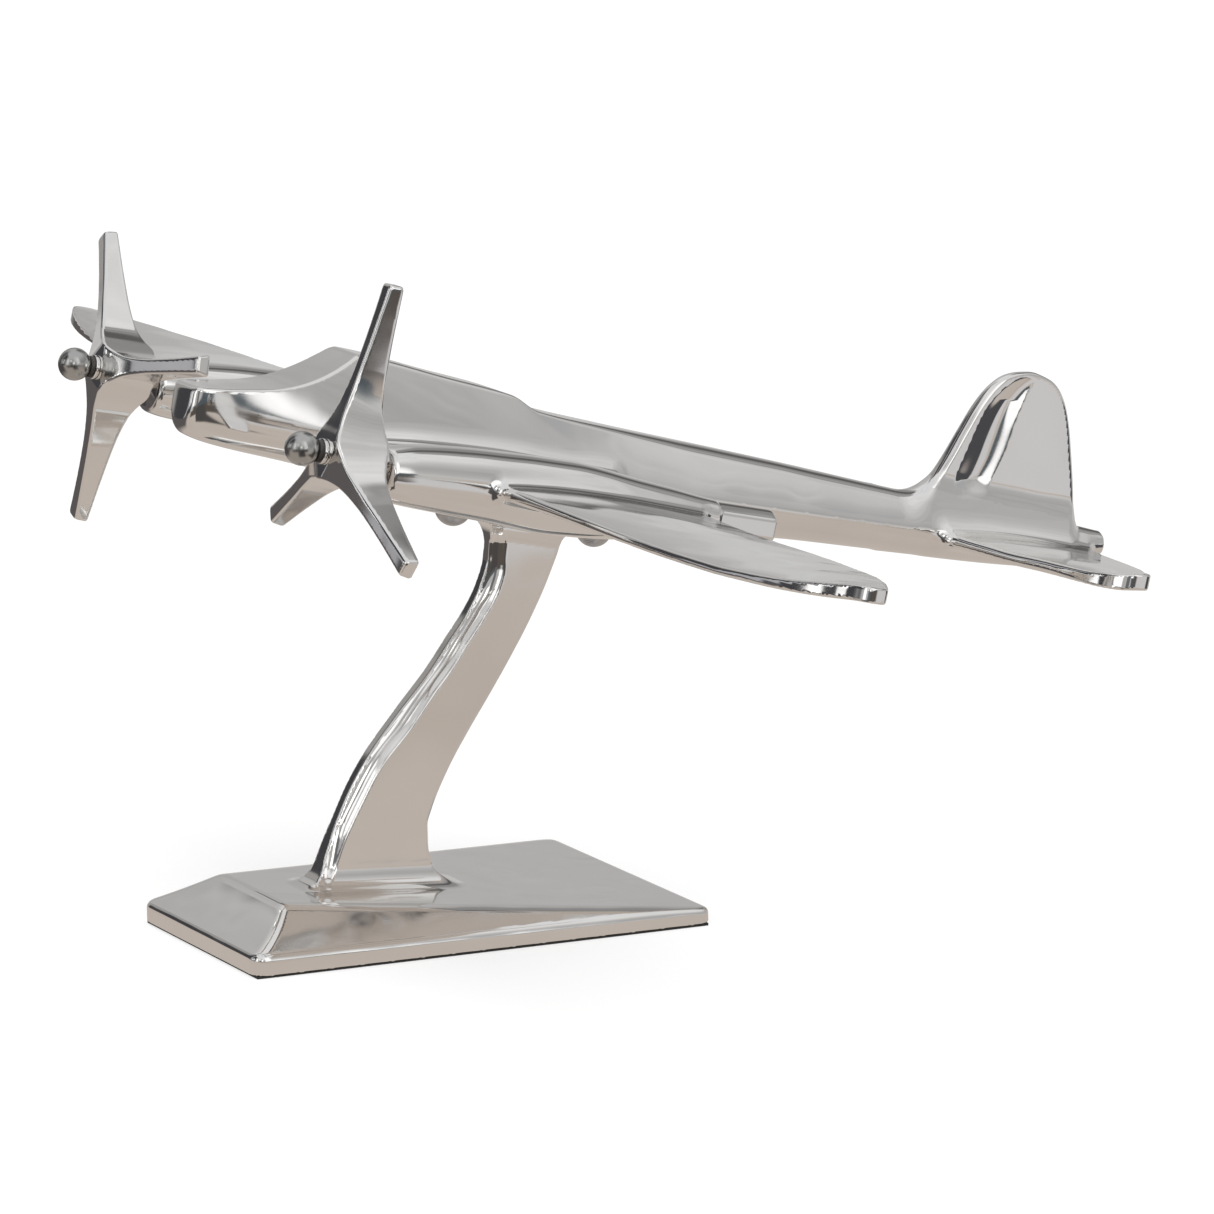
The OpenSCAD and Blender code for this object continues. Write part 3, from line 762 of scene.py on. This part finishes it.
def revolve(profile, steps):
    """Rings of [radius, u] turned round the thrust line; a radius of 0 closes an end."""
    points = []
    quads = []
    rings = []
    for radius, u in profile:
        start = len(points)
        if radius == 0:
            points.append((0.0, u, 0.0))
            rings.append([start] * steps)
            continue
        for k in range(steps):
            a = 2 * math.pi * k / steps
            points.append((radius * math.cos(a), u, radius * math.sin(a)))
        rings.append(list(range(start, start + steps)))
    pairs = list(zip(rings, rings[1:]))
    if profile[0][0] > 0:
        pairs.append((rings[-1], rings[0]))
    for near, far in pairs:
        for k in range(steps):
            n = (k + 1) % steps
            face = []
            for i in (near[k], near[n], far[n], far[k]):
                if i not in face:
                    face.append(i)
            quads.append(face)
    return points, quads


def turned_piece(name, profile, centre, up, material, slot, body, node):
    """A lathe-turned piece: profile is [radius, distance along up] from centre."""
    points, faces = revolve(profile, LATHE_STEPS)
    up = np.array(up, float)
    side = np.array([1.0, 0.0, 0.0])
    third = np.cross(side, up)
    basis = np.array([side, up, third])
    world = (np.array(points) @ basis + np.array(centre)) * MM
    mesh = bpy.data.meshes.new(name)
    mesh.from_pydata(world.tolist(), [], faces)
    work = bmesh.new()
    work.from_mesh(mesh)
    bmesh.ops.recalc_face_normals(work, faces=work.faces)
    work.to_mesh(mesh)
    work.free()
    mesh.shade_smooth()
    mesh.set_sharp_from_angle(angle=math.radians(38))
    add_piece(name, mesh, material, slot, body, node)


def ring_profile(inner, outer, start, end, chamfer=0.3):
    """A ring with chamfered outer rims."""
    return [[inner, start], [outer - chamfer, start], [outer - chamfer * 0.3, start + chamfer * 0.3],
            [outer, start + chamfer], [outer, end - chamfer], [outer - chamfer * 0.3, end - chamfer * 0.3],
            [outer - chamfer, end], [inner, end]]


def ball_profile(centre, radius, back, bore):
    """A ball with a flat back and a blind bore."""
    stop = math.acos((back - centre) / radius)
    arc = [[radius * math.sin(a), centre + radius * math.cos(a)]
           for a in (math.pi + (stop - math.pi) * k / BALL_STEPS for k in range(1, BALL_STEPS + 1))]
    return [[0, centre - radius]] + arc + [[bore, back], [bore, centre], [0, centre]]


def propellers():
    """The casting and bush of each propeller turn; the shaft and what is screwed on it do not."""
    bush = ring_profile(BUSH_BORE_R, 4.5, HUB_FRONT + 0.1, HUB_REAR - 0.1)
    shaft = [[0, -26], [2.2, -26], [SHAFT_R, -25.7], [SHAFT_R, 44.6], [2.2, 45], [0, 45]]
    for side, sign in SIDES.items():
        body = side + "_prop"
        hub = ORIGIN + np.array([sign * SHAFT_X, 0, 0])
        field = propeller_field(BLADE_TURN[side])
        skin = surface(field, (-78, -19, -78), (78, 12, 78), PROPELLER_CELL)
        mesh = mesh_from(side + "_blades", *skin)
        place = (TO_AIRFRAME, hub)
        finish_casting(side + "_propeller_casting", mesh, field, place, body, side + "_propeller")
        parts = {
            "hub_bush": (bush, BRASS, "brass", body),
            "shaft": (shaft, STEEL, "steel", ROOT),
            "rear_spacer": (ring_profile(BORE_R, 5.5, SPACER_FRONT, NAC_FRONT), STEEL, "steel", ROOT),
            "front_washer": (ring_profile(BORE_R, 5.6, WASHER_FRONT, -16.1), CAST, "steel", ROOT),
            # The ring between the front washer and the ball nut is near-black, and draws the dark band
            # between them.
            "fibre_washer": (ring_profile(BORE_R, 4.8, FIBRE_FRONT, WASHER_FRONT), NEAR_BLACK_RING, "fibre", ROOT),
            "ball_nut": (ball_profile(BALL_U, BALL_R, FIBRE_FRONT, BORE_R), DARK_STEEL, "ball", ROOT),
        }
        for part, (profile, material, slot, rides) in parts.items():
            name = side + "_" + part
            turned_piece(name + "_turned", profile, hub, AXIS_U, material, slot, rides, name)


def belly_bolts():
    """Dome-headed bolts: the head's cap is part of a larger ball."""
    top = SEAT_V - FLANGE_T
    radius = BELLY_HEAD_R
    height = BELLY_HEAD_HEIGHT
    cap = (radius * radius + height * height) / (2 * height)
    reach = math.asin(radius / cap)
    turns = [reach * k / DOME_STEPS for k in range(1, DOME_STEPS)]
    dome = [[cap * math.sin(turn), -height + cap - cap * math.cos(turn)] for turn in turns]
    shank = [[BELLY_SHANK_R, 0], [BELLY_SHANK_R, BELLY_SHANK_LENGTH], [0, BELLY_SHANK_LENGTH]]
    profile = [[0, -height]] + dome + [[radius, -0.5], [radius, 0]] + shank
    for name, u in BOLTS_U.items():
        centre = ORIGIN + AXIS_U * u + AXIS_V * top
        turned_piece(name + "_dome", profile, centre, AXIS_V, ZINC, "zinc", ROOT, name)


def keep_cad(nodes, material):
    """CAD nodes that are shown as they are, with a finish of their own."""
    for node in nodes:
        piece = frame["nodes"][node]
        if not piece.material_slots:
            piece.data.materials.append(material)
        for place in piece.material_slots:
            place.material = material


# ---------------------------------------------------------------- studio

def by_ray(tree, reflected, seen):
    """One shader for reflections and another for the camera."""
    mix = tree.nodes.new("ShaderNodeMixShader")
    path = tree.nodes.new("ShaderNodeLightPath")
    tree.links.new(path.outputs["Is Camera Ray"], mix.inputs["Fac"])
    tree.links.new(reflected, mix.inputs[1])
    tree.links.new(seen, mix.inputs[2])
    return mix.outputs["Shader"]


def joined(tree, operation, a, b):
    node = tree.nodes.new("ShaderNodeMath")
    node.operation = operation
    for socket, value in zip(node.inputs, (a, b)):
        if isinstance(value, (int, float)):
            socket.default_value = value
        else:
            tree.links.new(value, socket)
    return node.outputs["Value"]


def soft_step(tree, value, low, high):
    node = tree.nodes.new("ShaderNodeMapRange")
    node.interpolation_type = "SMOOTHSTEP"
    node.inputs["From Min"].default_value = low
    node.inputs["From Max"].default_value = high
    tree.links.new(value, node.inputs["Value"])
    return node.outputs["Result"]


def facing(tree, direction, azimuth):
    """Cosine between the view direction, laid flat, and an azimuth in degrees."""
    flat = tree.nodes.new("ShaderNodeVectorMath")
    flat.operation = "MULTIPLY"
    flat.inputs[1].default_value = (1, 1, 0)
    tree.links.new(direction, flat.inputs[0])
    unit = tree.nodes.new("ShaderNodeVectorMath")
    unit.operation = "NORMALIZE"
    tree.links.new(flat.outputs["Vector"], unit.inputs[0])
    dot = tree.nodes.new("ShaderNodeVectorMath")
    dot.operation = "DOT_PRODUCT"
    turn = math.radians(azimuth)
    dot.inputs[1].default_value = (math.cos(turn), math.sin(turn), 0)
    tree.links.new(unit.outputs["Vector"], dot.inputs[0])
    return dot.outputs["Value"]


def sector(tree, direction, azimuth, half, soft):
    ahead = facing(tree, direction, azimuth)
    return soft_step(tree, ahead, math.cos(math.radians(half + soft)), math.cos(math.radians(half)))


def patch(tree, under, where, sweep, value, edges, colour):
    """Paints over a sector of directions where value lies between two soft edges.

    edges holds the outer and inner end of the low edge, then the inner and outer end of the high.
    """
    mask = sector(tree, where, *sweep)
    mask = joined(tree, "MULTIPLY", mask, soft_step(tree, value, edges[0], edges[1]))
    mask = joined(tree, "MULTIPLY", mask, soft_step(tree, value, edges[3], edges[2]))
    mix = tree.nodes.new("ShaderNodeMix")
    mix.data_type = "RGBA"
    mix.inputs["B"].default_value = (*colour, 1)
    tree.links.new(mask, mix.inputs["Factor"])
    tree.links.new(under, mix.inputs["A"])
    return mix.outputs["Result"]


# What the eye sees of the backdrop, and how far from the middle the paper fades into it
WHITE = 1.05
PAPER_FADE = (-0.35, 0.42)

# The room's colour from straight below, 0, to straight above, 1
SKY = [
    (0.00, (0.48, 0.43, 0.39)),
    (0.48, (0.56, 0.55, 0.54)),
    (0.50, (0.60, 0.60, 0.595)),
    (0.56, (0.48, 0.475, 0.47)),
    (0.66, (0.43, 0.425, 0.42)),
    (0.78, (0.54, 0.535, 0.53)),
    (0.90, (0.80, 0.80, 0.80)),
    (1.00, (0.76, 0.765, 0.78)),
]

# Patches of the room as the metal sees them:
# azimuth, half width, softness, lowest and highest elevation, edge softness, colour
ROOM = [
    (124, 18, 7, 20, 54, 8, (0.28, 0.278, 0.275)),
    (129, 4, 3, 18, 56, 8, (0.12, 0.118, 0.115)),
    (111, 3, 2, 18, 56, 8, (0.36, 0.36, 0.36)),
    (228, 34, 8, -30, 52, 8, (0.055, 0.055, 0.06)),
    (196, 4, 3, -20, 60, 10, (0.36, 0.35, 0.34)),
    (226, 4, 2, -20, 50, 8, (0.42, 0.42, 0.44)),
    (239, 2, 1.5, 6, 20, 3, (1.5, 1.5, 1.5)),
    (252, 3, 1.5, 8, 26, 3, (1.3, 1.3, 1.3)),
    (-30, 34, 14, -14, 2.0, 1.5, (0.10, 0.09, 0.08)),
    (-75, 7, 3, 6, 36, 4, (1.3, 1.3, 1.3)),
    (-8, 17, 5, 28, 58, 5, (0.90, 0.90, 0.91)),
    (-44, 5, 3, 3, 34, 8, (0.16, 0.16, 0.165)),
    (-28, 5, 1, 12, 22, 2, (2.2, 2.2, 2.1)),
    (4, 9, 6, 5, 50, 3, (1.2, 1.2, 1.2)),
    (-8, 22, 6, -5, 2.2, 1.2, (0.085, 0.105, 0.12)),
    (70, 6, 3, 6, 30, 6, (0.43, 0.43, 0.44)),
    (-50, 7, 2, 24, 36, 3, (1.2, 1.2, 1.2)),
]

# The same for the table: azimuth, half width, softness, near and far distance in metres,
# edge softness, colour
TABLE = [
    (150, 60, 20, 0.9, 9.0, 0.5, (0.56, 0.55, 0.54)),
    (28, 26, 12, 0.95, 2.3, 0.25, (0.64, 0.63, 0.635)),
    (68, 11, 4, 0.74, 9.0, 0.08, (0.07, 0.07, 0.076)),
    (-12, 22, 8, 2.3, 9.0, 0.2, (0.14, 0.13, 0.125)),
    (-38, 42, 10, 1.15, 9.0, 0.15, (0.10, 0.085, 0.075)),
    (212, 34, 14, 0.6, 9.0, 0.3, (0.11, 0.10, 0.10)),
    (-30, 15, 5, 0.42, 9.0, 0.08, (0.075, 0.07, 0.068)),
]


def sky(tree, height):
    """The room's plain colour, before the patches."""
    ramp = tree.nodes.new("ShaderNodeValToRGB")
    elements = ramp.color_ramp.elements
    for element, (place, colour) in zip(elements, (SKY[0], SKY[-1])):
        element.position = place
        element.color = (*colour, 1)
    for place, colour in SKY[1:-1]:
        elements.new(place).color = (*colour, 1)
    tree.links.new(remap(tree, height, -1, 1, 0, 1), ramp.inputs["Fac"])
    return ramp.outputs["Color"]


def studio_world():
    """White to the eye; a studio with a pale backdrop and a dark side to the mirror finish."""
    world = bpy.data.worlds.new("studio")
    bpy.context.scene.world = world
    world.use_nodes = True
    tree = world.node_tree
    tree.nodes.clear()
    where = tree.nodes.new("ShaderNodeTexCoord").outputs["Generated"]
    split = tree.nodes.new("ShaderNodeSeparateXYZ")
    tree.links.new(where, split.inputs["Vector"])
    height = split.outputs["Z"]
    colour = sky(tree, height)
    for azimuth, half, soft, low, high, blur, paint in ROOM:
        edges = [math.sin(math.radians(a)) for a in (low - blur, low, high, high + blur)]
        colour = patch(tree, colour, where, (azimuth, half, soft), height, edges, paint)
    grain = noise(tree, 5, 4.0, stretch=(1, 1, 10), seed=5.0, space="Generated")
    room = tree.nodes.new("ShaderNodeBackground")
    tree.links.new(colour, room.inputs["Color"])
    tree.links.new(remap(tree, grain, 0.35, 0.65, 0.93, 1.06), room.inputs["Strength"])
    white = tree.nodes.new("ShaderNodeBackground")
    white.inputs["Color"].default_value = (1, 1, 1, 1)
    white.inputs["Strength"].default_value = WHITE
    mixed = by_ray(tree, room.outputs["Background"], white.outputs["Background"])
    out = tree.nodes.new("ShaderNodeOutputWorld")
    tree.links.new(mixed, out.inputs["Surface"])


def floor_material():
    """Pale paper to the eye, fading into the backdrop; a warm table top in reflections."""
    material, tree, shader = new_material("floor_paper")
    shader.inputs["Roughness"].default_value = 0.9
    grain = noise(tree, 30, 2.0)
    paper = blend_colours(tree, grain, (0.90, 0.90, 0.90), (0.94, 0.94, 0.94))
    tree.links.new(paper, shader.inputs["Base Color"])
    table = tree.nodes.new("ShaderNodeEmission")
    away = tree.nodes.new("ShaderNodeVectorMath")
    away.operation = "LENGTH"
    spot = tree.nodes.new("ShaderNodeTexCoord").outputs["Object"]
    tree.links.new(spot, away.inputs[0])
    distance = away.outputs["Value"]
    tint = blend_colours(tree, noise(tree, 5, 3.0, seed=9.0), (0.50, 0.44, 0.39), (0.60, 0.54, 0.49))
    for azimuth, half, soft, near, far, blur, paint in TABLE:
        edges = (near - blur, near, far, far + blur)
        tint = patch(tree, tint, spot, (azimuth, half, soft), distance, edges, paint)
    tree.links.new(tint, table.inputs["Color"])
    backdrop = tree.nodes.new("ShaderNodeEmission")
    backdrop.inputs["Strength"].default_value = WHITE
    seen = tree.nodes.new("ShaderNodeMixShader")
    tree.links.new(soft_step(tree, distance, *PAPER_FADE), seen.inputs["Fac"])
    tree.links.new(shader.outputs["BSDF"], seen.inputs[1])
    tree.links.new(backdrop.outputs["Emission"], seen.inputs[2])
    mixed = by_ray(tree, table.outputs["Emission"], seen.outputs["Shader"])
    tree.links.new(mixed, tree.nodes["Material Output"].inputs["Surface"])
    return material


def floor():
    """A pale sheet on the plane that the base stands on."""
    size = 6.0
    mesh = bpy.data.meshes.new("floor")
    corners = [(-size, -size, 0), (size, -size, 0), (size, size, 0), (-size, size, 0)]
    mesh.from_pydata(corners, [], [(0, 1, 2, 3)])
    mesh.materials.append(floor_material())
    sheet = bpy.data.objects.new("floor", mesh)
    bpy.context.collection.objects.link(sheet)


def softbox(name, place, target, size, power):
    """A square soft lamp that the metal does not mirror."""
    data = bpy.data.lights.new(name, "AREA")
    data.shape = "RECTANGLE"
    data.size = size
    data.size_y = size
    data.energy = power
    lamp = bpy.data.objects.new(name, data)
    lamp.location = place
    lamp.rotation_euler = (Vector(target) - Vector(place)).to_track_quat("-Z", "Y").to_euler()
    lamp.visible_glossy = False
    bpy.context.collection.objects.link(lamp)


def lights():
    softbox("top_box", (0.3, 0.1, 2.6), (0, 0.1, 0.1), size=2.4, power=62)
    softbox("front_box", (2.2, -2.4, 1.9), (0, 0, 0.2), size=0.9, power=30)


CAMERA_PLACE = (2.9483, -1.4613, 0.8478)
CAMERA_AZIMUTH = 62.12
CAMERA_LIFT = 12.09
CAMERA_ROLL = -0.72
LENS_MM = 222.99


def camera():
    """A long lens, a little above the port bow."""
    azimuth = math.radians(CAMERA_AZIMUTH)
    lift = math.radians(CAMERA_LIFT)
    roll = math.radians(CAMERA_ROLL)
    back = Vector((math.sin(azimuth) * math.cos(lift), -math.cos(azimuth) * math.cos(lift), math.sin(lift)))
    right = Vector((math.cos(azimuth), math.sin(azimuth), 0))
    up = back.cross(right)
    level = right * math.cos(roll) + up * math.sin(roll)
    rise = up * math.cos(roll) - right * math.sin(roll)
    data = bpy.data.cameras.new("camera")
    data.lens = LENS_MM
    data.sensor_width = 36
    data.clip_start = 0.05
    data.clip_end = 60
    shot = bpy.data.objects.new("camera", data)
    turn = Matrix((level, rise, back)).transposed().to_4x4()
    shot.matrix_world = Matrix.Translation(CAMERA_PLACE) @ turn
    bpy.context.collection.objects.link(shot)
    bpy.context.scene.camera = shot
    bpy.context.scene.view_settings.view_transform = "Standard"


airframe_castings()
stand_castings()
propellers()
belly_bolts()
keep_cad(["foot_bolt", "foot_washer"], ZINC)
# The pad under the base is near-black, and draws the dark line along the base's lower edge.
keep_cad(["felt_pad"], DARK_UNDER_SHEET)
studio_world()
floor()
lights()
camera()
